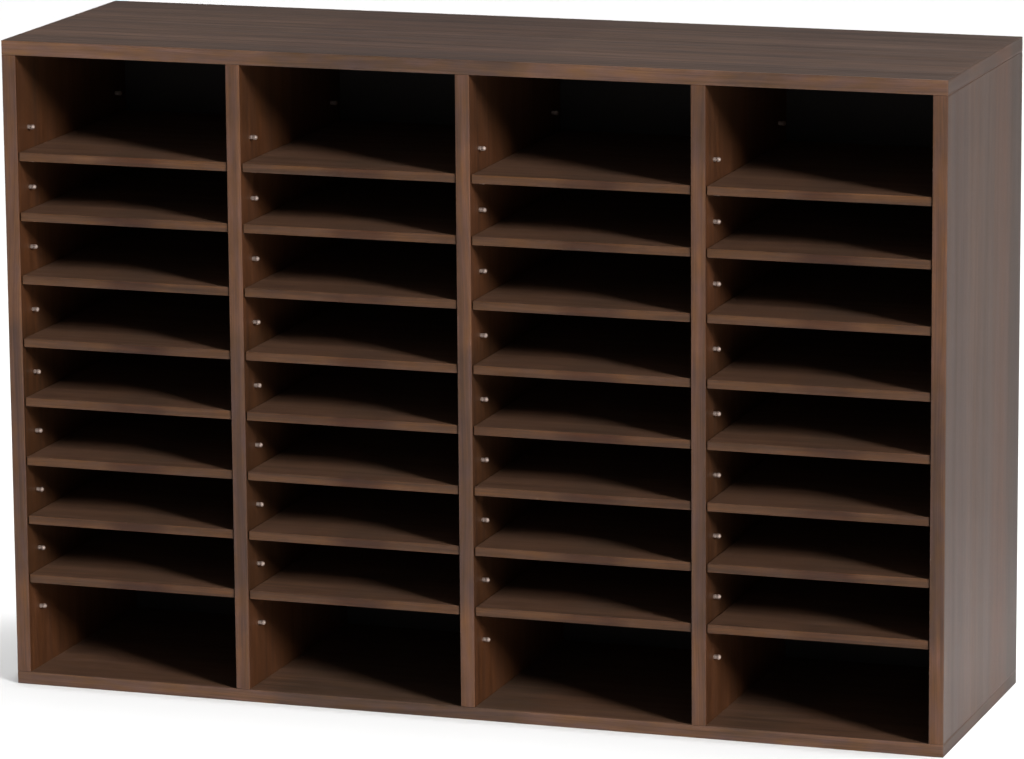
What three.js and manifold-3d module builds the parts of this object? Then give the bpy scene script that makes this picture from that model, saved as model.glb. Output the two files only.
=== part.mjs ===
// Pigeonhole mail sorter: a free-standing cabinet with columns of loose shelves that lie on wall pins.
// Millimetres, +Z up, +X to the right, +Y to the back.
// The origin is on the floor, midway across and midway deep.
import * as THREE from 'three';
import { mergeVertices } from 'three/addons/utils/BufferGeometryUtils.js';
import Module from 'manifold-3d';

// Carcass boards
const WIDTH = 1000;
const DEPTH = 305;
const BOARD = 15; // thickness of the top and all uprights
const BOTTOM_BOARD = 13; // thickness of the bottom
const COLUMNS = 4;
const SEAM = 0.2; // gap where two boards meet

// Rows, as clear heights from the bottom up, with a shelf between each two
const BOTTOM_ROW = 96.5;
const ROW = 53.8;
const TALL_ROW = 57.2;
const TOP_ROW = 101;
const ROWS = [BOTTOM_ROW, ROW, ROW, ROW, ROW, TALL_ROW, TALL_ROW, ROW, TOP_ROW];

// Shelves
const SHELF = 9; // thickness
const SHELF_RECESS = 1.5; // how far a shelf lies behind the front of the uprights
const SHELF_END_GAP = 1.25; // from a shelf's end to the upright
const SHELF_BACK_GAP = 2; // from a shelf's rear edge to the back panel

// Shelf pins, standing out of the uprights
const PIN_RADIUS = 2.5;
const PIN_REACH = 7.5; // how far a pin stands out of the wall
const PIN_HOLD = 6; // how deep a pin sits in the wall
const PIN_SETBACK = 27; // from a shelf's front and rear edge to the pin's axis
const PIN_SIDES = 8;
const SEAT_GAP = 0.3; // between a pin and the shelf that lies on it
// From a shelf place's underside down to the axis of the spare pin below it: half the spacing of the shelves
const SPARE_PIN_DROP = (ROW + SHELF) / 2;

// Back panel, held in grooves
const BACK = 3; // thickness
const BACK_INSET = 10; // from the cabinet's rear edge to the rear face of the panel
const GROOVE_DEPTH = 6;

// Dowels between the uprights and the top, and screws from below into the uprights
const FIT_GAP = 0.3; // around a piece that sits in a bore or a groove
const FASTENER_SETBACK = 60; // from an upright's front and rear edge
const FASTENER_SIDES = 12;
const DOWEL_RADIUS = 4;
const DOWEL_LENGTH = 30;
const DOWEL_COVER = 4.5; // top panel left over the end of a dowel
const SCREW_LENGTH = 50;
const SCREW_HEAD_RADIUS = 5;
const SCREW_HEAD_RIM = 1; // straight part of the head
const SCREW_HEAD_CONE = 2.5; // countersunk part of the head
const SCREW_SHANK_RADIUS = 3.5;
const SCREW_SHANK = 12; // plain shank, with the head
const SCREW_THREAD_RADIUS = 3;
const SCREW_POINT = 5; // tapered tip
const SCREW_RECESS = 1; // head under the face of the bottom panel

// Worked out from the values above
const sum = (numbers) => numbers.reduce((total, number) => total + number, 0);
const SHELVES = ROWS.length - 1;
const HEIGHT = BOTTOM_BOARD + sum(ROWS) + SHELVES * SHELF + BOARD;
const COLUMN_WIDTH = (WIDTH - (COLUMNS + 1) * BOARD) / COLUMNS;
const INNER_WIDTH = WIDTH - 2 * BOARD;
const FRONT = -DEPTH / 2;
const REAR = DEPTH / 2;
const BACK_REAR = REAR - BACK_INSET;
const BACK_FRONT = BACK_REAR - BACK;
const DIVIDER_REAR = BACK_FRONT - FIT_GAP;
const UPRIGHT_BOTTOM = BOTTOM_BOARD + SEAM;
const UPRIGHT_TOP = HEIGHT - BOARD - SEAM;
const SHELF_FRONT = FRONT + SHELF_RECESS;
const SHELF_REAR = BACK_FRONT - SHELF_BACK_GAP;
const PIN_PLACES_Y = [SHELF_FRONT + PIN_SETBACK, SHELF_REAR - PIN_SETBACK];
const FASTENER_PLACES_Y = { front: FRONT + FASTENER_SETBACK, back: DIVIDER_REAR - FASTENER_SETBACK };

const wasm = await Module();
wasm.setup();

// A closed geometry as a solid that can be joined and cut
function solidFrom(geometry) {
  const bare = geometry.clone();
  bare.deleteAttribute('normal');
  bare.deleteAttribute('uv');
  const merged = mergeVertices(bare);
  const corners = merged.index.array;
  const triangles = [];
  for (let i = 0; i < corners.length; i += 3) {
    const [a, b, c] = corners.slice(i, i + 3);
    if (a !== b && b !== c && c !== a) triangles.push(a, b, c);
  }
  return new wasm.Manifold(new wasm.Mesh({
    numProp: 3,
    vertProperties: merged.attributes.position.array,
    triVerts: Uint32Array.from(triangles),
  }));
}

// A solid back as a geometry
function geometryFrom(solid) {
  const mesh = solid.getMesh();
  const geometry = new THREE.BufferGeometry();
  geometry.setAttribute('position', new THREE.BufferAttribute(mesh.vertProperties, 3));
  geometry.setIndex(new THREE.BufferAttribute(mesh.triVerts, 1));
  geometry.computeVertexNormals();
  return geometry;
}

// A box between two corners
function box(low, high) {
  const [x, y, z] = low.map((value, axis) => high[axis] - value);
  const geometry = new THREE.BoxGeometry(x, y, z);
  return geometry.translate(...low.map((value, axis) => (value + high[axis]) / 2));
}

// A solid of revolution around an upright axis; profile points are [radius, height]
function turned(profile, x, y, z) {
  const points = profile.map(([radius, height]) => new THREE.Vector2(radius, height));
  return new THREE.LatheGeometry(points, FASTENER_SIDES).rotateX(Math.PI / 2).translate(x, y, z);
}

// Finishes
const walnut = { color: 0x5a4236, roughness: 0.55, metalness: 0 };
const darkBoard = { color: 0x1f1713, roughness: 0.8, metalness: 0 };
const beech = { color: 0xb58a5c, roughness: 0.7, metalness: 0 };
const steel = { color: 0x9a958e, roughness: 0.35, metalness: 1 };

const sorter = new THREE.Group();

function addPiece(name, geometry, finish) {
  const piece = new THREE.Mesh(geometry, new THREE.MeshStandardMaterial(finish));
  piece.name = name;
  sorter.add(piece);
}

// The uprights, left to right, with the walls on which pins stand: -1 faces left and 1 faces right
const uprights = [];
for (let i = 0; i <= COLUMNS; i += 1) {
  const isLeftSide = i === 0;
  const isRightSide = i === COLUMNS;
  const left = -WIDTH / 2 + i * (BOARD + COLUMN_WIDTH);
  let name = `divider_${i}`;
  let walls = [-1, 1];
  if (isLeftSide) {
    name = 'left_side';
    walls = [1];
  }
  if (isRightSide) {
    name = 'right_side';
    walls = [-1];
  }
  const rear = isLeftSide || isRightSide ? REAR : DIVIDER_REAR;
  uprights.push({ name, left, walls, rear, middle: left + BOARD / 2 });
}

// Undersides of the shelves, and of one free shelf place above the top shelf
const shelfUndersides = [];
let rowFloor = BOTTOM_BOARD;
for (let i = 0; i < SHELVES; i += 1) {
  shelfUndersides.push(rowFloor + ROWS[i]);
  rowFloor += ROWS[i] + SHELF;
}
const shelfPlaces = [...shelfUndersides, rowFloor + ROW];

// Heights of the pins' axes: those that carry a shelf, and the spare ones between
const carryingPins = shelfUndersides.map((underside) => underside - SEAT_GAP - PIN_RADIUS);
const sparePins = shelfPlaces.map((underside) => underside - SPARE_PIN_DROP);

// A pin that sits in one wall of an upright, lying along X
function pin(upright, wall, y, z) {
  const length = PIN_HOLD + PIN_REACH;
  const face = upright.middle + wall * BOARD / 2;
  const geometry = new THREE.CylinderGeometry(PIN_RADIUS, PIN_RADIUS, length, PIN_SIDES);
  return geometry.rotateZ(Math.PI / 2).translate(face + wall * (PIN_REACH - length / 2), y, z);
}

// A dowel, or the bore for it with a gap all round
function dowel(upright, y, gap) {
  const radius = DOWEL_RADIUS + gap;
  const top = HEIGHT - DOWEL_COVER + gap;
  const bottom = HEIGHT - DOWEL_COVER - DOWEL_LENGTH - gap;
  return turned([[0, bottom], [radius, bottom], [radius, top], [0, top]], upright.middle, y, 0);
}

// A countersunk screw that stands upright with its head at the bottom
function screw(upright, y) {
  const cone = SCREW_HEAD_RIM + SCREW_HEAD_CONE;
  const profile = [
    [0, 0],
    [SCREW_HEAD_RADIUS, 0],
    [SCREW_HEAD_RADIUS, SCREW_HEAD_RIM],
    [SCREW_SHANK_RADIUS, cone],
    [SCREW_SHANK_RADIUS, SCREW_SHANK],
    [SCREW_THREAD_RADIUS, SCREW_SHANK],
    [SCREW_THREAD_RADIUS, SCREW_LENGTH - SCREW_POINT],
    [0, SCREW_LENGTH],
  ];
  return turned(profile, upright.middle, y, SCREW_RECESS);
}

// The stepped bore for a screw, open at the underside of the bottom panel
function screwBore(upright, y) {
  const headTop = SCREW_RECESS + SCREW_HEAD_RIM + SCREW_HEAD_CONE + FIT_GAP;
  const mouth = -SCREW_RECESS;
  const end = SCREW_RECESS + SCREW_LENGTH + FIT_GAP;
  const headRadius = SCREW_HEAD_RADIUS + FIT_GAP;
  const radius = SCREW_SHANK_RADIUS + FIT_GAP;
  const profile = [
    [0, mouth],
    [headRadius, mouth],
    [headRadius, headTop],
    [radius, headTop],
    [radius, end],
    [0, end],
  ];
  return turned(profile, upright.middle, y, 0);
}

// The groove all round for the back panel, as the block that is cut out of the boards
const grooveCut = solidFrom(box(
  [-INNER_WIDTH / 2 - GROOVE_DEPTH, BACK_FRONT - FIT_GAP, BOTTOM_BOARD - GROOVE_DEPTH],
  [INNER_WIDTH / 2 + GROOVE_DEPTH, BACK_REAR + FIT_GAP, HEIGHT - BOARD + GROOVE_DEPTH],
));

// Top and bottom panels, with bores for the dowels and the screws
function panel(bottom, top) {
  const board = box([-WIDTH / 2, FRONT, bottom], [WIDTH / 2, REAR, top]);
  return solidFrom(board).subtract(grooveCut);
}

let topPanel = panel(HEIGHT - BOARD, HEIGHT);
let bottomPanel = panel(0, BOTTOM_BOARD);
for (const upright of uprights) {
  for (const y of Object.values(FASTENER_PLACES_Y)) {
    topPanel = topPanel.subtract(solidFrom(dowel(upright, y, FIT_GAP)));
    bottomPanel = bottomPanel.subtract(solidFrom(screwBore(upright, y)));
  }
}
addPiece('top_panel', geometryFrom(topPanel), walnut);
addPiece('bottom_panel', geometryFrom(bottomPanel), walnut);

// Uprights with their pins, and the dowels and screws that hold them
for (const upright of uprights) {
  const low = [upright.left, FRONT, UPRIGHT_BOTTOM];
  const high = [upright.left + BOARD, upright.rear, UPRIGHT_TOP];
  let board = solidFrom(box(low, high)).subtract(grooveCut);
  for (const [place, y] of Object.entries(FASTENER_PLACES_Y)) {
    board = board.subtract(solidFrom(dowel(upright, y, FIT_GAP)));
    board = board.subtract(solidFrom(screwBore(upright, y)));
    addPiece(`dowel_${upright.name}_${place}`, dowel(upright, y, 0), beech);
    addPiece(`screw_${upright.name}_${place}`, screw(upright, y), steel);
  }
  for (const wall of upright.walls) {
    for (const z of [...carryingPins, ...sparePins]) {
      for (const y of PIN_PLACES_Y) {
        board = board.add(solidFrom(pin(upright, wall, y, z)));
      }
    }
  }
  addPiece(upright.name, geometryFrom(board), walnut);
}

// Back panel, with room in its groove
const backReach = GROOVE_DEPTH - FIT_GAP;
const backPanel = box(
  [-INNER_WIDTH / 2 - backReach, BACK_FRONT, BOTTOM_BOARD - backReach],
  [INNER_WIDTH / 2 + backReach, BACK_REAR, HEIGHT - BOARD + backReach],
);
addPiece('back_panel', backPanel, darkBoard);

// Shelves, by column from the left and by row from the bottom
for (let column = 0; column < COLUMNS; column += 1) {
  const left = uprights[column].left + BOARD + SHELF_END_GAP;
  const right = uprights[column + 1].left - SHELF_END_GAP;
  shelfUndersides.forEach((underside, row) => {
    const shelf = box([left, SHELF_FRONT, underside], [right, SHELF_REAR, underside + SHELF]);
    addPiece(`shelf_c${column + 1}_r${row + 1}`, shelf, walnut);
  });
}

export default sorter;
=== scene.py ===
# The looks of the pigeonhole mail sorter, built around its solids. Metres, +Z up, the front faces -Y.
import math
import random

import bmesh
import bpy
from mathutils import Matrix, Vector


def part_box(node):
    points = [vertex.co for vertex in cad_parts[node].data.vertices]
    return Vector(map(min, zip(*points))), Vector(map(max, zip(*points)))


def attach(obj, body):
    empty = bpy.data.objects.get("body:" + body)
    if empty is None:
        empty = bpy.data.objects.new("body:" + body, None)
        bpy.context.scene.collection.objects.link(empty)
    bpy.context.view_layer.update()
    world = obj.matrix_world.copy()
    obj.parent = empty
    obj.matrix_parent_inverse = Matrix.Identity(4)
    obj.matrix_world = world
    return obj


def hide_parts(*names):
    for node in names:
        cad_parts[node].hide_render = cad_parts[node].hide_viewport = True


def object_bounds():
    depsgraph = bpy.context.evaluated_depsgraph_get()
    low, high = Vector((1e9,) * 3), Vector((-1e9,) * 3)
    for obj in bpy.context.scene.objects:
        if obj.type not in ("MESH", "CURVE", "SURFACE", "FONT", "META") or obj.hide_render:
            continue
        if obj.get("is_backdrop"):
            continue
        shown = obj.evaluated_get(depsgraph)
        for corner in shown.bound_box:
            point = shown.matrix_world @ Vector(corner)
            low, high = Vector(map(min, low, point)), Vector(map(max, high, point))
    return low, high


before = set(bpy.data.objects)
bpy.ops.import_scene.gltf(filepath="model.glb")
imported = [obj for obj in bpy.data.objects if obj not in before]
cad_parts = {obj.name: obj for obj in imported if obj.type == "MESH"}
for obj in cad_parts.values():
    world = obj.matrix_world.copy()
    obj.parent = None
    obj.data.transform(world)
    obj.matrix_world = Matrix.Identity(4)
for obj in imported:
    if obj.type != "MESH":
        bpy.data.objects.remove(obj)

cad_low, cad_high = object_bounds()

X, Y, Z = range(3)
MM = 0.001

# Nodes of the frame
UPRIGHTS = ["left_side", "divider_1", "divider_2", "divider_3", "right_side"]
SHELVES = [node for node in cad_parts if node.startswith("shelf_")]
DOWELS = [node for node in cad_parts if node.startswith("dowel_")]
SCREWS = [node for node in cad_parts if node.startswith("screw_")]
top_low, top_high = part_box("top_panel")
BOARD = top_high.z - top_low.z  # thickness of the top panel and of the uprights

# Boards
EDGE_ROUND = 0.35 * MM
EDGE_STEPS = 3
RIM = 2.2 * MM  # width of the strip along an edge that shows wear
RIM_SHARE = 0.3  # of a board's thickness, which that strip stays within
RIM_SLACK = 1.1  # a point this many edge radii deep still counts as on a side
FLAT_NORMAL = 0.9999  # share of a normal along one axis from which a face counts as flat
FACING = 0.5  # and from which it counts as facing that way
SHARP_ANGLE = 35.0  # degrees between faces from which an edge stays sharp

# The printed walnut. Boards of one kind are cut from the same place along the printed sheet.
PANEL_START = 0.0
UPRIGHT_START = 0.185
SHELF_START = 0.677
DARK_ZONES = ((0.285, 0.560, 1.0), (0.770, 0.832, 0.6))  # start and end along the sheet, and how dark
ZONE_BLUR = 0.012
# Bands on the outside, darker or lighter by how far they lie behind the front edge, darkest towards the
# rear: start and end behind the front edge, and how dark, or how light where below 0
SIDE_STRIPES = ((0.085, 0.132, -0.09), (0.142, 0.190, 0.10), (0.200, 0.252, -0.07), (0.258, 0.330, 0.34))
TOP_STRIPES = ((-0.100, 0.045, 0.15), (0.050, 0.090, -0.17), (0.142, 0.178, 0.08), (0.222, 0.400, 0.10),
               (0.256, 0.400, 0.12))
# Hues on the sides: start and end behind the front edge, and how warm, or how cool where below 0
SIDE_HUES = ((0.015, 0.080, -1.0), (0.195, 0.248, 1.0))
WARM_HUE = (1.0, 0.82, 0.61)
COOL_HUE = (0.89, 0.90, 1.0)
STRIPE_BLUR = 0.009
GRAIN_SPREAD = 8.0  # boards take their fine grain from anywhere in an area of this size
BAND_SHIFT = 1.7  # how far the grain of one side of a board lies from that of the next
GLOSS = 0.315  # specular level of the laminate inside and on the front
SIDE_GLOSS = 0.203
TOP_GLOSS = 0.387
LAMINATE_ROUGHNESS = 0.53
LAMINATE_RELIEF = 0.025 * MM
LINE_RELIEF = 0.4  # height of the fine lines, where the depth of a pore is 1
PATCH_SHADE = 0.35  # how far patches shift the print between its light and its dark colour
BLOTCH = 0.10
PORE_SHADE = 0.5  # a pore's colour, as a share of the dark colour
PORE_STRENGTH = 0.4
PORE_LEVELS = (0.6, 0.72)  # of the noise, where pores start and where they are full
WORN_SHADE = 1.3  # a worn rim's colour, as a share of the light colour
SCUFF_LEVELS = (0.5, 0.75)
SCUFF_STRENGTH = 0.3
SCUFF_REPEATS = 60.0

# Repeats in a metre of the print's patterns, along and across the grain
FLAT_PATCHES = (3.0, 25.0)  # on broad faces
EDGE_PATCHES = (9.0, 30.0)
BLOTCHES = (26.0, 70.0)
HUES = (30.0, 150.0)
STREAKS_ACROSS = 120.0
LINES = (12.0, 900.0)
PORES = (70.0, 2600.0)
SHINE = (1.5, 45.0)
WANDER = (1.5, 6.0)
WANDER_REACH = 0.035  # how far the grain wanders to the side

# Repeats in a metre of the other patterns, along X, Y and Z, and the colours between which they run
NOISE_LOW, NOISE_HIGH = 0.3, 0.7  # nearly all of a noise lies between these
CHIPS = (300.0, 300.0, 300.0)
CHIP_COLOURS = ((0.16, 0.09, 0.045), (0.34, 0.22, 0.12), (0.47, 0.33, 0.19))
CHIP_LEVELS = (0.3, 0.55, 0.75)
TURNING_MARKS = (9000.0, 300.0, 300.0)
NICKEL_COLOURS = ((0.44, 0.350, 0.305), (0.56, 0.450, 0.392))
ZINC_COLOURS = ((0.36, 0.36, 0.35), (0.56, 0.56, 0.54))
BEECH_FLECKS = (1600.0, 1600.0, 140.0)
BEECH_COLOURS = ((0.42, 0.25, 0.12), (0.62, 0.42, 0.24))
HARDBOARD_FIBRES = (900.0, 900.0, 260.0)
HARDBOARD_CLOUDS = (9.0, 9.0, 4.0)
# Painted shade: the inside of the back panel nearly black, for the dark deep inside of the cabinet
BACK_INSIDE_SHADE_COLOURS = ((0.010, 0.006, 0.004), (0.018, 0.010, 0.007))
BACK_OUTSIDE_COLOURS = ((0.084, 0.043, 0.020), (0.124, 0.066, 0.032))
BACK_SCREEN = 1.2  # depth of the screen pattern on the outside, where that of the fibres is 1
FLOOR_COLOURS = ((0.81, 0.81, 0.81), (0.83, 0.83, 0.83))

# Shelf pins: a collar by the wall and a round head on a thinner neck
PIN_RADIUS = 2.5 * MM
PIN_REACH = 7.5 * MM
PIN_SETBACK = 27.0 * MM  # from a shelf's front and rear edge
PIN_SEAT_GAP = 0.3 * MM
PIN_NECK_RADIUS = 2.15 * MM
PIN_COLLAR_RADIUS = 2.3 * MM
PIN_COLLAR_START = 0.3 * MM
PIN_COLLAR_END = 2.8 * MM
PIN_HEAD_START = 3.3 * MM
PIN_ROUND = 1.0 * MM  # rounding of the collar and of the rear of the head
PIN_DOME = 2.3 * MM  # rounding of the end of the head
PIN_REAR_ANGLES = (180, 150, 120, 90)  # degrees, of the rings that round a bead
PIN_END_ANGLES = (90, 60, 30, 0)
PIN_SIDES = 20

# Screws and dowels
FIT_GAP = 0.3 * MM
SCREW_HEAD_RIM = 1.0 * MM
SCREW_HEAD_CONE = 2.5 * MM
SCREW_HEAD_ARRIS = 0.3 * MM
SCREW_SHANK_RADIUS = 3.5 * MM
SCREW_SHANK_END = 12.0 * MM
SCREW_CORE_RADIUS = 2.3 * MM
SCREW_THREAD_RADIUS = 3.0 * MM
SCREW_PITCH = 3.0 * MM
SCREW_STEPS = 6  # rings of points in one turn of the thread
SCREW_RIDGE_SLOPE = 3  # ridge heights that the thread's flank rises in one pitch
SCREW_POINT = 5.0 * MM
SCREW_TIP_RADIUS = 0.15 * MM
SCREW_SIDES = 24
SOCKET_HALF_WIDTH = 2.0 * MM
SOCKET_DEPTH = 2.4 * MM
DOWEL_SIDES = 48
DOWEL_FLUTE_DEPTH = 0.3 * MM
DOWEL_CHAMFER = 1.0 * MM

# Camera, fitted to the corners of the cabinet in the photograph
CAMERA_PLACE = (1.85574, -5.46932, 1.52512)
CAMERA_AZIMUTH = 18.755
CAMERA_ELEVATION = 11.743
CAMERA_ROLL = -0.465
CAMERA_LENS = 200.26
CAMERA_SENSOR = 36.0
CAMERA_REACH = 100.0

# Light: a soft key from the right, an even ceiling, a softbox over the cabinet, a light with a narrow fan
# over the floor on each side of it, and a sky that is pale at the horizon and dim above, over a pale floor
KEY_AZIMUTH = 63.0  # degrees to the right of the front
KEY_ELEVATION = 21.6
KEY_STRENGTH = 3.4
KEY_SPREAD = 14.0
CEILING_STRENGTH = 2.1
CEILING_SPREAD = 4.0
SOFTBOX_PLACE = (0.9, 0.7, 4.0)
SOFTBOX_SIZE = (1.5, 1.5)
SOFTBOX_POWER = 85.0
SOFTBOX_FAN = 180.0
RIGHT_LIGHT_PLACE = (0.70, 0.2, 2.0)
RIGHT_LIGHT_SIZE = (0.34, 0.8)
RIGHT_LIGHT_POWER = 0.92
LEFT_LIGHT_PLACE = (-1.40, 0.5, 2.0)
LEFT_LIGHT_SIZE = (1.6, 1.3)
LEFT_LIGHT_POWER = 1.8
FLOOR_LIGHT_FAN = 6.0
SKY_LOW = (0.97, 0.97, 0.97)
SKY_HIGH = (0.12, 0.12, 0.12)
SKY_LOW_END = 0.015  # height of a direction where the pale horizon ends
SKY_HIGH_START = 0.03
FLOOR_HALF_WIDTH = 30.0

dice = random.Random(36)


# Meshes

def object_from(name, shape):
    """An object with the shape's mesh, in the scene."""
    data = bpy.data.meshes.new(name)
    shape.to_mesh(data)
    shape.free()
    piece = bpy.data.objects.new(name, data)
    bpy.context.scene.collection.objects.link(piece)
    return piece


def add_box(shape, low, high):
    """Adds a box to a shape."""
    made = bmesh.ops.create_cube(shape, size=1.0)
    for vert in made["verts"]:
        for axis in range(3):
            vert.co[axis] = high[axis] if vert.co[axis] > 0 else low[axis]


def add_turned(shape, rings, place, direction, sides):
    """Adds a closed solid of rings around an axis. A ring is (distance, radius), and a radius may be a
    function of the angle; the solid starts and ends with a point, which is a ring of radius 0."""
    along = Vector(direction)
    across = along.orthogonal().normalized()
    other = along.cross(across)
    loops = []
    for distance, radius in rings:
        middle = Vector(place) + along * distance
        if radius == 0:
            loops.append([shape.verts.new(middle)] * sides)
            continue
        loop = []
        for i in range(sides):
            angle = 2 * math.pi * i / sides
            reach = radius(angle) if callable(radius) else radius
            spoke = math.cos(angle) * across + math.sin(angle) * other
            loop.append(shape.verts.new(middle + reach * spoke))
        loops.append(loop)
    for first, second in zip(loops, loops[1:]):
        for i in range(sides):
            j = (i + 1) % sides
            corners = list(dict.fromkeys([first[i], first[j], second[j], second[i]]))
            shape.faces.new(corners)


def rounded_box(low, high):
    """A box with rounded edges and, on each flat side, a loop where the worn strip along the edges ends."""
    shape = bmesh.new()
    add_box(shape, low, high)
    bmesh.ops.bevel(shape, geom=list(shape.edges), offset=EDGE_ROUND, segments=EDGE_STEPS, profile=0.5,
                    affect="EDGES")
    flat = [face for face in shape.faces
            if max(map(abs, face.normal)) > FLAT_NORMAL and face.calc_area() > RIM * RIM]
    size = [high[axis] - low[axis] for axis in range(3)]
    rim = min(RIM, RIM_SHARE * min(size))
    bmesh.ops.inset_individual(shape, faces=flat, thickness=rim, use_even_offset=True)
    return shape


def cut(piece, cutter_shape):
    """Cuts a closed shape out of a piece."""
    cutter = object_from("cutter", cutter_shape)
    modifier = piece.modifiers.new("cut", "BOOLEAN")
    modifier.object = cutter
    modifier.operation = "DIFFERENCE"
    modifier.solver = "EXACT"
    graph = bpy.context.evaluated_depsgraph_get()
    data = bpy.data.meshes.new_from_object(piece.evaluated_get(graph))
    piece.modifiers.clear()
    piece.data = data
    bpy.data.objects.remove(cutter)


def smooth(piece):
    """Shades a piece smooth, except at its sharp edges."""
    for face in piece.data.polygons:
        face.use_smooth = True
    piece.data.set_sharp_from_angle(angle=math.radians(SHARP_ANGLE))


# Material places on a board: faces inside the cabinet, edge bands, what a cut lays bare, and the outside
FACE, BAND, CORE, SIDE, TOP = range(5)


def depth_in(place, low, high):
    """How deep a place lies in a box, along each axis."""
    return [min(place[axis] - low[axis], high[axis] - place[axis]) for axis in range(3)]


def print_board(piece, low, high, grain, sheet_start):
    """Lays the print along the grain, tells faces, edge bands and cuts apart, and marks the worn rims."""
    data = piece.data
    size = [high[axis] - low[axis] for axis in range(3)]
    thin = size.index(min(size))
    start = (dice.uniform(0, GRAIN_SPREAD), dice.uniform(0, GRAIN_SPREAD))
    for name in ("grain", "sheet"):
        data.uv_layers.new(name=name)
    fine = data.uv_layers["grain"].data
    sheet = data.uv_layers["sheet"].data
    for face in data.polygons:
        facing = max(range(3), key=lambda axis: abs(face.normal[axis]))
        others = [axis for axis in range(3) if axis != facing]
        along = max(others, key=lambda axis: size[axis]) if facing == grain else grain
        across = sum(others) - along
        shift = BAND_SHIFT * (facing + 3 * (face.normal[facing] > 0))
        for corner in face.loop_indices:
            place = data.vertices[data.loops[corner].vertex_index].co
            fine[corner].uv = (place[along] + start[0] + shift, place[across] + start[1] + shift)
            behind = 0.0 if facing == Y else place[Y] - low[Y]
            sheet[corner].uv = (place[grain] - low[grain] + sheet_start, behind)
        outermost = depth_in(face.center, cad_low, cad_high)[facing] < EDGE_ROUND
        if min(depth_in(face.center, low, high)) > EDGE_ROUND:
            face.material_index = CORE
        elif outermost and facing != Y:
            face.material_index = SIDE if facing == X else TOP
        elif facing != thin:
            face.material_index = BAND
    rim = data.attributes.new("rim", "FLOAT", "POINT")
    for vert in data.vertices:
        near = [depth < RIM_SLACK * EDGE_ROUND for depth in depth_in(vert.co, low, high)]
        rim.data[vert.index].value = 1.0 if sum(near) > 1 else 0.0


# Materials

class Finish:
    """A material, with short calls that add and join its nodes."""

    def __init__(self, name):
        self.data = bpy.data.materials.new(name)
        self.data.use_nodes = True
        self.tree = self.data.node_tree
        self.shader = self.tree.nodes["Principled BSDF"]

    def give(self, socket, value):
        if isinstance(value, bpy.types.NodeSocket):
            self.tree.links.new(value, socket)
        else:
            socket.default_value = value

    def add(self, kind, inputs, **settings):
        node = self.tree.nodes.new("ShaderNode" + kind)
        for name, value in settings.items():
            setattr(node, name, value)
        for name, value in inputs.items():
            self.give(node.inputs[name], value)
        return node

    def set(self, **inputs):
        for name, value in inputs.items():
            self.give(self.shader.inputs[name.replace("_", " ")], value)

    def place(self):
        return self.add("TexCoord", {}).outputs["Object"]

    def math(self, operation, first, second, third=0.0):
        return self.add("Math", {0: first, 1: second, 2: third}, operation=operation).outputs[0]

    def stretch(self, place, *repeats):
        """A place scaled by the repeats along each axis. A print has two axes, and its third one stays."""
        return self.add("Mapping", {"Vector": place, "Scale": (*repeats, 1.0)[:3]}).outputs[0]

    def noise(self, place, detail=2.0, roughness=0.5, scale=1.0):
        inputs = {"Vector": place, "Scale": scale, "Detail": detail, "Roughness": roughness}
        return self.add("TexNoise", inputs).outputs[0]

    def ramp(self, value, *stops):
        node = self.add("ValToRGB", {"Fac": value})
        while len(node.color_ramp.elements) < len(stops):
            node.color_ramp.elements.new(0.5)
        for element, (position, colour) in zip(node.color_ramp.elements, stops):
            element.position = position
            element.color = (*colour, 1.0)
        return node.outputs[0]

    def blend(self, noise, first, second):
        """A colour that follows a noise from the first colour to the second."""
        return self.ramp(noise, (NOISE_LOW, first), (NOISE_HIGH, second))

    def level(self, value, low, high, start=0.0, end=1.0):
        inputs = {"Value": value, "From Min": low, "From Max": high, "To Min": start, "To Max": end}
        return self.add("MapRange", inputs).outputs[0]

    def vary(self, noise, start, end):
        """A value that follows a noise from start to end."""
        return self.level(noise, NOISE_LOW, NOISE_HIGH, start, end)

    def zones(self, value, zones, blur):
        """The sum of soft-edged zones of a value, each with its start, end and height."""
        total = 0.0
        for start, end, height in zones:
            rise = self.level(value, start - blur, start + blur)
            fall = self.level(value, end - blur, end + blur, height, 0.0)
            total = self.math("MULTIPLY_ADD", rise, fall, total)
        return total

    def mix(self, share, first, second, mode="MIX"):
        node = self.tree.nodes.new("ShaderNodeMix")
        node.data_type = "RGBA"
        node.blend_type = mode
        for index, value in ((0, share), (6, first), (7, second)):
            self.give(node.inputs[index], value)
        return node.outputs[2]

    def times(self, colour, factor):
        return self.mix(1.0, colour, factor, "MULTIPLY")

    def bump(self, height, distance):
        self.set(Normal=self.add("Bump", {"Height": height, "Distance": distance}).outputs[0])


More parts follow.
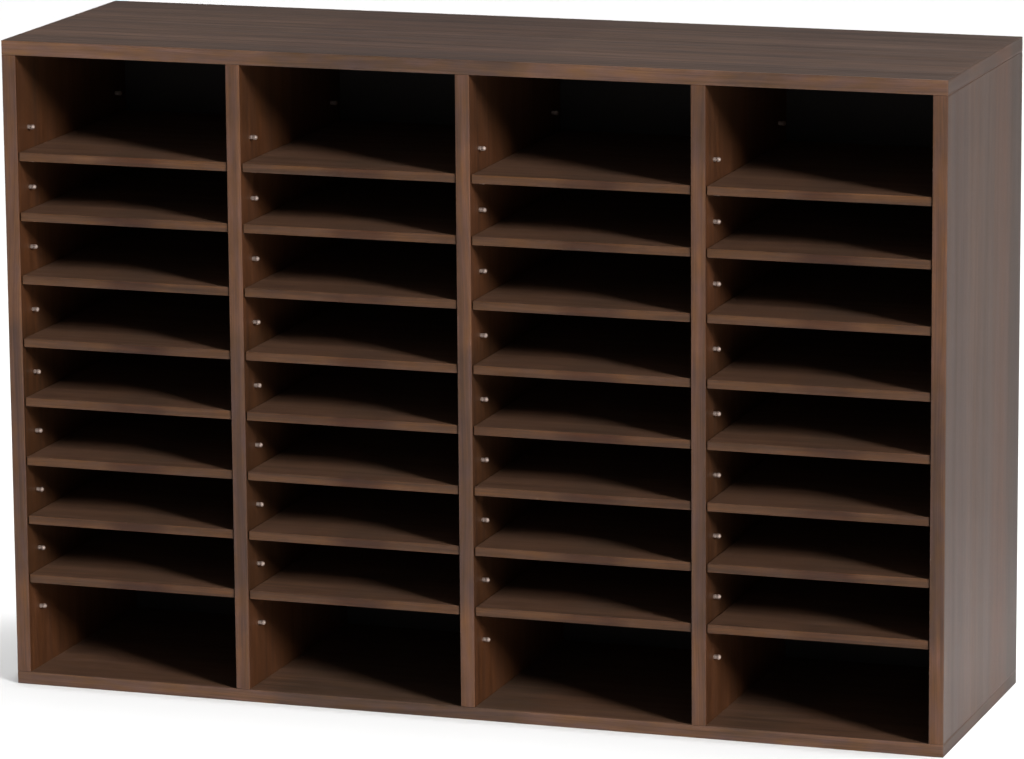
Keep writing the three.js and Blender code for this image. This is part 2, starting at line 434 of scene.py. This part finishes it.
def walnut(name, light, dark, patch, streak=0.28, runs=2.5, line=0.13, tint=0.09, sheen=0.07, gloss=GLOSS,
           stripes=(), hue_stripes=()):
    """Printed walnut laminate: light brown with darker zones and patches, and with streaks, tints, fine
    lines and pores along the grain; bands darken or lighten it by how far they lie behind the front edge.
    Its sheen varies across the grain, and the rims are a little worn.
    streak, line, tint and sheen say how strong these are, patch gives the repeats of the patches in a metre,
    and runs that of the streaks along the grain. A stripe that is dark by 1 would be black."""
    finish = Finish(name)
    sheet = finish.add("SeparateXYZ", {0: finish.add("UVMap", {}, uv_map="sheet").outputs[0]})
    place = finish.add("UVMap", {}, uv_map="grain").outputs[0]
    parts = finish.add("SeparateXYZ", {0: place})
    wander = finish.noise(finish.stretch(place, *WANDER))
    across = finish.math("ADD", parts.outputs[1], finish.math("MULTIPLY", wander, WANDER_REACH))
    grain = finish.add("CombineXYZ", {0: parts.outputs[0], 1: across}).outputs[0]
    patches = finish.noise(finish.stretch(grain, *patch), detail=3.0)
    blotches = finish.noise(finish.stretch(grain, *BLOTCHES))
    hues = finish.noise(finish.stretch(grain, *HUES))
    streaks = finish.noise(finish.stretch(grain, runs, STREAKS_ACROSS), detail=4.0, roughness=0.65)
    lines = finish.noise(finish.stretch(grain, *LINES), detail=3.0)
    shine = finish.noise(finish.stretch(grain, *SHINE), detail=4.0, roughness=0.6)
    pores = finish.level(finish.noise(finish.stretch(grain, *PORES), detail=1.0), *PORE_LEVELS)
    zones = finish.zones(sheet.outputs[0], DARK_ZONES, ZONE_BLUR)
    shade = finish.math("ADD", zones, finish.vary(patches, -PATCH_SHADE, PATCH_SHADE))
    colour = finish.mix(shade, (*light, 1.0), (*dark, 1.0))
    for pattern, strength in ((streaks, streak), (blotches, BLOTCH), (lines, line)):
        colour = finish.times(colour, finish.vary(pattern, 1.0 - strength, 1.0 + strength))
    warm = (1.0, 1.0 - 0.5 * tint, 1.0 - 2 * tint)
    cool = (1.0 - 0.5 * tint, 1.0 - 0.5 * tint, 1.0)
    colour = finish.times(colour, finish.blend(hues, warm, cool))
    if stripes:
        darker = finish.zones(sheet.outputs[1], stripes, STRIPE_BLUR)
        colour = finish.times(colour, finish.level(darker, -1.0, 1.0, 2.0, 0.0))
    if hue_stripes:
        warmth = finish.level(finish.zones(sheet.outputs[1], hue_stripes, STRIPE_BLUR), -1.0, 1.0)
        hue = finish.ramp(warmth, (0.0, COOL_HUE), (0.5, (1.0, 1.0, 1.0)), (1.0, WARM_HUE))
        colour = finish.times(colour, hue)
    pore = (*[PORE_SHADE * value for value in dark], 1.0)
    colour = finish.mix(finish.math("MULTIPLY", pores, PORE_STRENGTH), colour, pore)
    rim = finish.add("Attribute", {}, attribute_name="rim").outputs["Fac"]
    marks = finish.noise(place, detail=3.0, scale=SCUFF_REPEATS)
    scuffs = finish.level(marks, *SCUFF_LEVELS, 0.0, SCUFF_STRENGTH)
    worn = (*[WORN_SHADE * value for value in light], 1.0)
    colour = finish.mix(finish.math("MULTIPLY", rim, scuffs), colour, worn)
    roughness = finish.vary(shine, LAMINATE_ROUGHNESS - sheen, LAMINATE_ROUGHNESS + sheen)
    finish.set(Base_Color=colour, Roughness=roughness, Diffuse_Roughness=0.5, Specular_IOR_Level=gloss)
    relief = finish.math("SUBTRACT", finish.math("MULTIPLY", lines, LINE_RELIEF), pores)
    finish.bump(relief, LAMINATE_RELIEF)
    return finish.data


def particleboard():
    """Bare core of the boards, which shows in grooves and bores."""
    finish = Finish("particleboard")
    place = finish.place()
    chips = finish.noise(finish.stretch(place, *CHIPS), detail=3.0, roughness=0.7)
    colour = finish.ramp(chips, *zip(CHIP_LEVELS, CHIP_COLOURS))
    finish.set(Base_Color=colour, Roughness=finish.vary(chips, 0.75, 0.95))
    finish.bump(chips, distance=0.3 * MM)
    return finish.data


def nickel():
    """Satin nickel on the shelf pins, with fine turning marks and faint tarnish."""
    finish = Finish("satin_nickel")
    place = finish.place()
    marks = finish.noise(finish.stretch(place, *TURNING_MARKS))
    tarnish = finish.noise(place, detail=3.0, scale=260.0)
    finish.set(Base_Color=finish.blend(tarnish, *NICKEL_COLOURS))
    finish.set(Metallic=1.0, Roughness=finish.vary(marks, 0.66, 0.78))
    finish.bump(marks, distance=0.02 * MM)
    return finish.data


def zinc():
    """Zinc-plated steel of the screws, slightly blotched."""
    finish = Finish("zinc_plate")
    place = finish.place()
    blotches = finish.noise(place, detail=4.0, scale=420.0)
    finish.set(Base_Color=finish.blend(blotches, *ZINC_COLOURS))
    finish.set(Metallic=1.0, Roughness=finish.vary(blotches, 0.30, 0.50))
    finish.bump(blotches, distance=0.02 * MM)
    return finish.data


def beech():
    """Beech of the dowels, with short flecks along the length."""
    finish = Finish("beech")
    flecks = finish.noise(finish.stretch(finish.place(), *BEECH_FLECKS), detail=3.0)
    finish.set(Base_Color=finish.blend(flecks, *BEECH_COLOURS), Roughness=finish.vary(flecks, 0.6, 0.75))
    finish.bump(flecks, distance=0.05 * MM)
    return finish.data


def hardboard(name, dark, light, screen=0.0):
    """Hardboard of the back panel: clouds, fibres and, with a screen above 0, the dents of a wire screen."""
    finish = Finish(name)
    place = finish.place()
    fibres = finish.noise(finish.stretch(place, *HARDBOARD_FIBRES), detail=4.0, roughness=0.65)
    clouds = finish.noise(finish.stretch(place, *HARDBOARD_CLOUDS), detail=3.0)
    colour = finish.times(finish.blend(clouds, dark, light), finish.vary(fibres, 0.75, 1.25))
    finish.set(Base_Color=colour, Roughness=finish.vary(fibres, 0.62, 0.82))
    height = fibres
    if screen:
        wave = {"Vector": place, "Scale": 110.0, "Distortion": 0.6, "Detail": 1.0}
        wires = [finish.add("TexWave", wave, bands_direction=axis).outputs[1] for axis in ("X", "Z")]
        dents = finish.math("MULTIPLY", *wires)
        height = finish.math("ADD", finish.math("MULTIPLY", dents, screen), fibres)
    finish.bump(height, distance=0.1 * MM)
    return finish.data


def pale_floor():
    """Plain pale floor, faintly clouded."""
    finish = Finish("pale_floor")
    clouds = finish.noise(finish.place(), detail=3.0, scale=3.0)
    finish.set(Base_Color=finish.blend(clouds, *FLOOR_COLOURS), Roughness=0.9)
    return finish.data


CORE_BOARD = particleboard()
# One walnut laminate in copies per face, whose colours are set apart as painted light and shade: the top
# greyer than the outer sides, each coloured for the light it gets
SIDE_PRINT = walnut("walnut_sides", (0.0464, 0.0217, 0.0122), (0.0435, 0.0201, 0.0113), FLAT_PATCHES,
                    streak=0.20, runs=5.0, line=0.05, sheen=0.03, gloss=SIDE_GLOSS, stripes=SIDE_STRIPES,
                    hue_stripes=SIDE_HUES)
TOP_PRINT = walnut("walnut_top", (0.0453, 0.0241, 0.0156), (0.0406, 0.0206, 0.0135), FLAT_PATCHES,
                   streak=0.42, sheen=0.15, gloss=TOP_GLOSS, stripes=TOP_STRIPES)
# Painted shade: the walls inside the cabinet darker and redder than the shelves
WALL_SHADED_PRINT = walnut("walnut_walls_painted_shade", (0.0537, 0.0188, 0.0064), (0.0363, 0.0134, 0.0043), FLAT_PATCHES)
# Painted light: the shelf faces lighter and greyer than the walls
SHELF_LIT_PRINT = walnut("walnut_shelves_painted_light", (0.0879, 0.0451, 0.0275), (0.0705, 0.0402, 0.0262), FLAT_PATCHES)
# The edge bands are a redder print, made lighter as painted light for the front
PANEL_EDGE_PRINT = walnut("walnut_panel_edges", (0.1435, 0.0740, 0.0478), (0.0952, 0.0520, 0.0360),
                          EDGE_PATCHES, streak=0.40, line=0.20, tint=0.23)
UPRIGHT_EDGE_PRINT = walnut("walnut_upright_edges", (0.1328, 0.0619, 0.0352), (0.0907, 0.0453, 0.0295),
                            EDGE_PATCHES, streak=0.32, line=0.20, tint=0.23)
SHELF_EDGE_PRINT = walnut("walnut_shelf_edges", (0.0966, 0.0428, 0.0183), (0.0391, 0.0090, 0.0013),
                          EDGE_PATCHES, streak=0.38, line=0.22, tint=0.23)
NICKEL = nickel()
ZINC = zinc()
BEECH = beech()
# Painted shade: the back panel's inside, nearly black
BACK_INSIDE_SHADE = hardboard("back_inside_painted_shade", *BACK_INSIDE_SHADE_COLOURS)
BACK_OUTSIDE = hardboard("back_outside", *BACK_OUTSIDE_COLOURS, BACK_SCREEN)


# Pieces

def place_piece(piece, body, node):
    """Puts a piece on its body and hides the node it stands in for, if there is one."""
    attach(piece, body)
    if node:
        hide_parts(node)


def add_board(node, body, low, high, grain, sheet_start, face_print, edge_print, cutter=None):
    """A rounded board with its bores and grooves, its prints and its bare core."""
    piece = object_from(node + "_board", rounded_box(low, high))
    if cutter:
        cut(piece, cutter)
    for material in (face_print, edge_print, CORE_BOARD, SIDE_PRINT, TOP_PRINT):
        piece.data.materials.append(material)
    print_board(piece, low, high, grain, sheet_start)
    smooth(piece)
    place_piece(piece, body, node)


def upright_box(node):
    """An upright's board without its pins."""
    low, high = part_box(node)
    if node == "left_side":
        return low, Vector((low.x + BOARD, high.y, high.z))
    if node == "right_side":
        return Vector((high.x - BOARD, low.y, low.z)), high
    middle = (low.x + high.x) / 2
    return Vector((middle - BOARD / 2, low.y, low.z)), Vector((middle + BOARD / 2, high.y, high.z))


def bores(nodes):
    """The bores for some dowels and screws, and the groove for the back panel, as one shape to cut away."""
    shape = bmesh.new()
    gap = Vector((FIT_GAP,) * 3)
    low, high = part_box("back_panel")
    add_box(shape, low - gap, high + gap)
    for node in nodes:
        low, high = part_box(node)
        middle = (low + high) / 2
        radius = (high.x - low.x) / 2 + FIT_GAP
        start, end = low.z - FIT_GAP, high.z + FIT_GAP
        rings = [(start, 0), (start, radius), (end, radius), (end, 0)]
        if node.startswith("screw"):
            step = low.z + SCREW_HEAD_RIM + SCREW_HEAD_CONE + FIT_GAP
            mouth = -low.z
            shank = SCREW_SHANK_RADIUS + FIT_GAP
            rings = [(mouth, 0), (mouth, radius), (step, radius), (step, shank), (end, shank), (end, 0)]
        add_turned(shape, rings, (middle.x, middle.y, 0), (0, 0, 1), SCREW_SIDES)
    return shape


def add_dowel(node):
    """A fluted dowel with chamfered ends."""
    low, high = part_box(node)
    radius = (high.x - low.x) / 2
    length = high.z - low.z

    def fluted(angle):
        return radius - DOWEL_FLUTE_DEPTH * (math.cos(DOWEL_SIDES / 2 * angle) < 0)

    tip = radius - DOWEL_CHAMFER
    rings = [(0, 0), (0, tip), (DOWEL_CHAMFER, fluted)]
    rings += [(length - DOWEL_CHAMFER, fluted), (length, tip), (length, 0)]
    shape = bmesh.new()
    middle = (low + high) / 2
    add_turned(shape, rings, (middle.x, middle.y, low.z), (0, 0, 1), DOWEL_SIDES)
    piece = object_from(node + "_fluted", shape)
    piece.data.materials.append(BEECH)
    smooth(piece)
    place_piece(piece, "carcass", node)


def add_screw(node):
    """A countersunk screw with a hexagon socket, a plain shank and a thread that ends in a point."""
    low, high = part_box(node)
    head = (high.x - low.x) / 2
    length = high.z - low.z

    def socket(angle):
        sixth = math.pi / 3
        return SOCKET_HALF_WIDTH / math.cos(angle % sixth - sixth / 2)

    def thread(distance):
        taper = min(1.0, (length - distance) / SCREW_POINT)

        def radius(angle):
            phase = (distance / SCREW_PITCH - angle / (2 * math.pi)) % 1.0
            ridge = max(0.0, 1 - SCREW_RIDGE_SLOPE * abs(phase - 0.5))
            reach = SCREW_CORE_RADIUS + ridge * (SCREW_THREAD_RADIUS - SCREW_CORE_RADIUS)
            return max(SCREW_TIP_RADIUS, taper * reach)

        return radius

    cone = SCREW_HEAD_RIM + SCREW_HEAD_CONE
    rings = [(SOCKET_DEPTH, 0), (SOCKET_DEPTH, socket), (0, socket)]
    rings += [(0, head - SCREW_HEAD_ARRIS), (SCREW_HEAD_ARRIS, head)]
    rings += [(SCREW_HEAD_RIM, head), (cone, SCREW_SHANK_RADIUS), (SCREW_SHANK_END, SCREW_SHANK_RADIUS)]
    turn_count = (length - SCREW_SHANK_END) / SCREW_PITCH
    ring_count = int(turn_count * SCREW_STEPS)
    for i in range(ring_count):
        distance = SCREW_SHANK_END + (length - SCREW_SHANK_END) * i / ring_count
        rings.append((distance, thread(distance)))
    rings.append((length, 0))
    shape = bmesh.new()
    middle = (low + high) / 2
    add_turned(shape, rings, (middle.x, middle.y, low.z), (0, 0, 1), SCREW_SIDES)
    piece = object_from(node + "_threaded", shape)
    piece.data.materials.append(ZINC)
    smooth(piece)
    place_piece(piece, "carcass", node)


def bead(start, end, radius, end_round, end_radius):
    """Rings of a rounded bead on a pin's neck, with the rounding and the smallest radius of its far end."""
    rings = []
    halves = ((start + PIN_ROUND, PIN_ROUND, PIN_NECK_RADIUS, PIN_REAR_ANGLES),
              (end - end_round, end_round, end_radius, PIN_END_ANGLES))
    for middle, rounding, smallest, angles in halves:
        for angle in map(math.radians, angles):
            reach = radius - rounding + rounding * math.sin(angle)
            rings.append((middle + rounding * math.cos(angle), max(reach, smallest)))
    return rings


def pin_rings():
    """Rings of a whole pin, from the wall to the end of its head."""
    rings = [(0, 0), (0, PIN_NECK_RADIUS)]
    rings += bead(PIN_COLLAR_START, PIN_COLLAR_END, PIN_COLLAR_RADIUS, PIN_ROUND, PIN_NECK_RADIUS)
    rings += bead(PIN_HEAD_START, PIN_REACH, PIN_RADIUS, PIN_DOME, 0)
    rings.append((PIN_REACH, 0))
    return rings


def add_pins(node):
    """The metal shelf pins in one upright's walls: those under the shelves and the spare ones between."""
    low, high = upright_box(node)
    shelves = [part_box(name) for name in SHELVES if name.startswith("shelf_c1_")]
    shelves.sort(key=lambda box: box[0].z)
    undersides = [box[0].z for box in shelves]
    spacing = undersides[1] - undersides[0]
    places = undersides + [undersides[-1] + spacing]
    heights = [z - PIN_SEAT_GAP - PIN_RADIUS for z in undersides] + [z - spacing / 2 for z in places]
    walls = [(low.x, -1), (high.x, 1)]
    if node == "left_side":
        walls = walls[1:]
    if node == "right_side":
        walls = walls[:1]
    shape = bmesh.new()
    for x, side in walls:
        for z in heights:
            for y in (shelves[0][0].y + PIN_SETBACK, shelves[0][1].y - PIN_SETBACK):
                add_turned(shape, pin_rings(), (x, y, z), (side, 0, 0), PIN_SIDES)
    piece = object_from(node + "_pins", shape)
    piece.data.materials.append(NICKEL)
    smooth(piece)
    place_piece(piece, "carcass", None)


def add_back():
    """The back panel; its inside, which faces the front, is painted nearly black as shade."""
    low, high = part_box("back_panel")
    piece = object_from("back_panel_sheet", rounded_box(low, high))
    piece.data.materials.append(BACK_OUTSIDE)
    piece.data.materials.append(BACK_INSIDE_SHADE)
    for face in piece.data.polygons:
        face.material_index = 1 if face.normal.y < -FACING else 0
    smooth(piece)
    place_piece(piece, "carcass", "back_panel")


for node, fasteners in (("top_panel", DOWELS), ("bottom_panel", SCREWS)):
    low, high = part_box(node)
    add_board(node, "carcass", low, high, X, PANEL_START, SHELF_LIT_PRINT, PANEL_EDGE_PRINT, bores(fasteners))
for node in UPRIGHTS:
    low, high = upright_box(node)
    own = [name for name in DOWELS + SCREWS if node in name]
    add_board(node, "carcass", low, high, Z, UPRIGHT_START, WALL_SHADED_PRINT, UPRIGHT_EDGE_PRINT, bores(own))
    add_pins(node)
for node in SHELVES:
    low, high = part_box(node)
    add_board(node, node, low, high, X, SHELF_START, SHELF_LIT_PRINT, SHELF_EDGE_PRINT)
for node in DOWELS:
    add_dowel(node)
for node in SCREWS:
    add_screw(node)
add_back()


# Floor, light and camera

def add_floor():
    """The pale floor under the cabinet."""
    shape = bmesh.new()
    bmesh.ops.create_grid(shape, x_segments=1, y_segments=1, size=FLOOR_HALF_WIDTH)
    floor = object_from("floor", shape)
    floor.data.materials.append(pale_floor())
    floor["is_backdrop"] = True


def add_far_light(name, azimuth, elevation, strength, spread):
    """Light from far away, with its angles in degrees."""
    data = bpy.data.lights.new(name, "SUN")
    data.energy = strength
    data.angle = math.radians(spread)
    light = bpy.data.objects.new(name, data)
    azimuth = math.radians(azimuth)
    elevation = math.radians(elevation)
    level = math.cos(elevation)
    towards = Vector((math.sin(azimuth) * level, -math.cos(azimuth) * level, math.sin(elevation)))
    light.rotation_euler = towards.to_track_quat("Z", "Y").to_euler()
    bpy.context.scene.collection.objects.link(light)


def add_softbox(name, place, size, power, fan):
    """A flat light that shines down, with the angle in degrees that its light fans out over."""
    data = bpy.data.lights.new(name, "AREA")
    data.shape = "RECTANGLE"
    data.size, data.size_y = size
    data.energy = power
    data.spread = math.radians(fan)
    light = bpy.data.objects.new(name, data)
    light.location = place
    bpy.context.scene.collection.objects.link(light)


def add_sky():
    """An even studio: pale near the horizon, darker above."""
    world = bpy.data.worlds.new("studio")
    world.use_nodes = True
    tree = world.node_tree
    coordinates = tree.nodes.new("ShaderNodeTexCoord")
    parts = tree.nodes.new("ShaderNodeSeparateXYZ")
    ramp = tree.nodes.new("ShaderNodeValToRGB")
    ramp.color_ramp.elements[0].position = SKY_LOW_END
    ramp.color_ramp.elements[0].color = (*SKY_LOW, 1.0)
    ramp.color_ramp.elements[1].position = SKY_HIGH_START
    ramp.color_ramp.elements[1].color = (*SKY_HIGH, 1.0)
    background = tree.nodes["Background"]
    tree.links.new(coordinates.outputs["Generated"], parts.inputs[0])
    tree.links.new(parts.outputs["Z"], ramp.inputs["Fac"])
    tree.links.new(ramp.outputs["Color"], background.inputs["Color"])
    bpy.context.scene.world = world


def add_camera():
    """The camera of the photograph."""
    data = bpy.data.cameras.new("camera")
    data.lens = CAMERA_LENS
    data.sensor_width = CAMERA_SENSOR
    data.clip_end = CAMERA_REACH
    camera = bpy.data.objects.new("camera", data)
    turn = Matrix.Rotation(math.radians(CAMERA_AZIMUTH), 4, "Z")
    tilt = Matrix.Rotation(math.radians(90.0 - CAMERA_ELEVATION), 4, "X")
    roll = Matrix.Rotation(math.radians(CAMERA_ROLL), 4, "Z")
    camera.matrix_world = Matrix.Translation(CAMERA_PLACE) @ turn @ tilt @ roll
    bpy.context.scene.collection.objects.link(camera)
    bpy.context.scene.camera = camera


add_floor()
add_sky()
add_far_light("key", KEY_AZIMUTH, KEY_ELEVATION, KEY_STRENGTH, KEY_SPREAD)
add_far_light("ceiling", 0.0, 90.0, CEILING_STRENGTH, CEILING_SPREAD)
add_softbox("softbox", SOFTBOX_PLACE, SOFTBOX_SIZE, SOFTBOX_POWER, SOFTBOX_FAN)
add_softbox("right_light", RIGHT_LIGHT_PLACE, RIGHT_LIGHT_SIZE, RIGHT_LIGHT_POWER, FLOOR_LIGHT_FAN)
add_softbox("left_light", LEFT_LIGHT_PLACE, LEFT_LIGHT_SIZE, LEFT_LIGHT_POWER, FLOOR_LIGHT_FAN)
add_camera()
bpy.context.scene.view_settings.view_transform = "Standard"

low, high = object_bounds()
